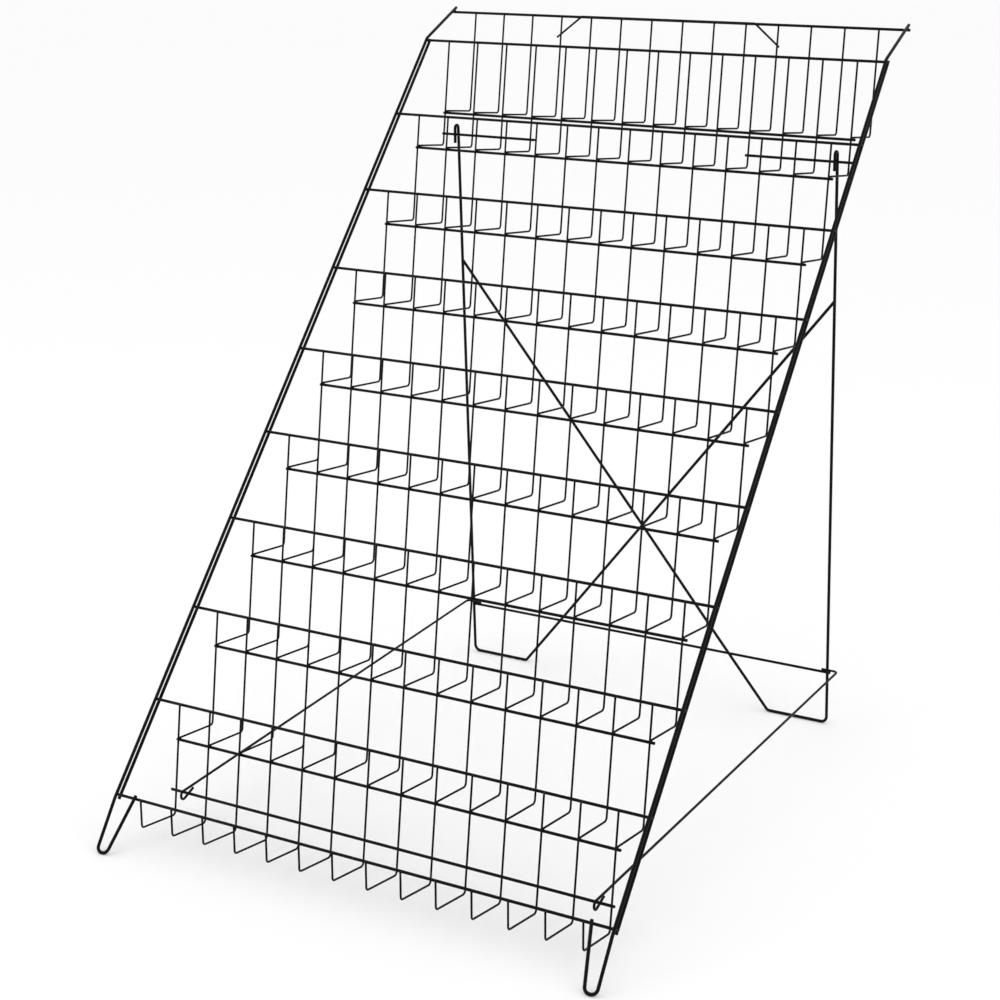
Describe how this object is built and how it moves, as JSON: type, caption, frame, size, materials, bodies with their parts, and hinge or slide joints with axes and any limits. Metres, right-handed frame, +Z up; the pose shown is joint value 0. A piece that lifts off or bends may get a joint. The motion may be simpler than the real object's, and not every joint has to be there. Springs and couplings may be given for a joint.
{
  "type": "newspaper rack",
  "caption": "Free-standing tiered wire rack whose leaning pockets show newspapers and magazines, with a folding rear leg.",
  "frame": {"origin": "on the floor, at the centre of the rack's footprint box", "axes": "+Z up; -Y is the reader's side, where the pockets face; +X to the reader's right"},
  "size_m": [0.75, 0.9298, 1.0466],
  "materials": {
    "black_wire": "semi-gloss black powder coat on steel wire"
  },
  "bodies": {
    "panel": {"tier_01": "black_wire", "tier_02": "black_wire", "tier_03": "black_wire", "tier_04": "black_wire", "tier_05": "black_wire", "tier_06": "black_wire", "tier_07": "black_wire", "tier_08": "black_wire", "tier_09": "black_wire", "tier_10": "black_wire", "lip_01": "black_wire", "lip_02": "black_wire", "lip_03": "black_wire", "lip_04": "black_wire", "lip_05": "black_wire", "lip_06": "black_wire", "lip_07": "black_wire", "lip_08": "black_wire", "lip_09": "black_wire", "lip_10": "black_wire", "top_wire": "black_wire", "rail_front_left": "black_wire", "rail_front_right": "black_wire", "rail_back_left": "black_wire", "rail_back_right": "black_wire", "sign_holder": "black_wire", "hinge_rod_left": "black_wire", "hinge_rod_right": "black_wire"},
    "rear_leg": {"leg_wire_left": "black_wire", "leg_wire_right": "black_wire", "leg_crossbar": "black_wire"},
    "arm_left": {"spreader_arm_left": "black_wire"},
    "arm_right": {"spreader_arm_right": "black_wire"}
  },
  "joints": [
    {"name": "leg_fold", "type": "hinge", "parent": "panel", "child": "rear_leg", "pos_m": [0, 0.36086, 0.86016], "axis": [-1, 0, 0], "range_deg": [0, 40]},
    {"name": "arm_left_fold", "type": "hinge", "parent": "panel", "child": "arm_left", "pos_m": [0, -0.34825, 0.05249], "axis": [1, 0, 0], "range_deg": [0, 43.2]},
    {"name": "arm_right_fold", "type": "hinge", "parent": "panel", "child": "arm_right", "pos_m": [0, -0.34825, 0.05249], "axis": [1, 0, 0], "range_deg": [0, 43.2]}
  ],
  "couplings": [
    {"joint": "arm_left_fold", "follows": "leg_fold", "ratio": 1.08},
    {"joint": "arm_right_fold", "follows": "leg_fold", "ratio": 1.08}
  ]
}
